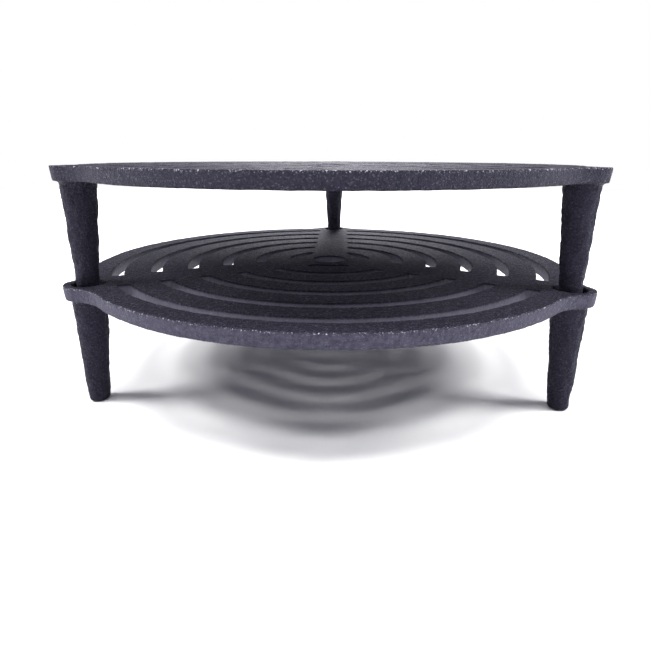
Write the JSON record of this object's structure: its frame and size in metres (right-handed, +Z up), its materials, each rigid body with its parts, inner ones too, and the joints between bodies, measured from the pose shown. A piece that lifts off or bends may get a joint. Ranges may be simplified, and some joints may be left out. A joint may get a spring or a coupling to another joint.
{
  "type": "two-tier stacking grate",
  "caption": "Round slotted iron grate on three tapered legs, with a second one of the same pattern standing in the sockets of its ears.",
  "frame": {"origin": "on the floor under the middle of the plates, at the centre of the circle the feet stand on", "axes": "+Z up along the plates' common axis; +Y towards the back leg, so -Y faces the viewer; the other two legs are at the left and right front"},
  "size_m": [0.23, 0.239, 0.1],
  "materials": {
    "casting": "sand-cast skin, dark grey, matt with a fine sparkle"
  },
  "bodies": {
    "lower_tier": {"lower_plate": "casting", "lower_back_leg": "casting", "lower_left_leg": "casting", "lower_right_leg": "casting"},
    "upper_tier": {"upper_plate": "casting", "upper_back_leg": "casting", "upper_left_leg": "casting", "upper_right_leg": "casting"}
  },
  "joints": [
    {"name": "upper_tier_lift", "type": "slide", "parent": "lower_tier", "child": "upper_tier", "axis": [0, 0, 1], "range_m": [0, 0.06]}
  ]
}
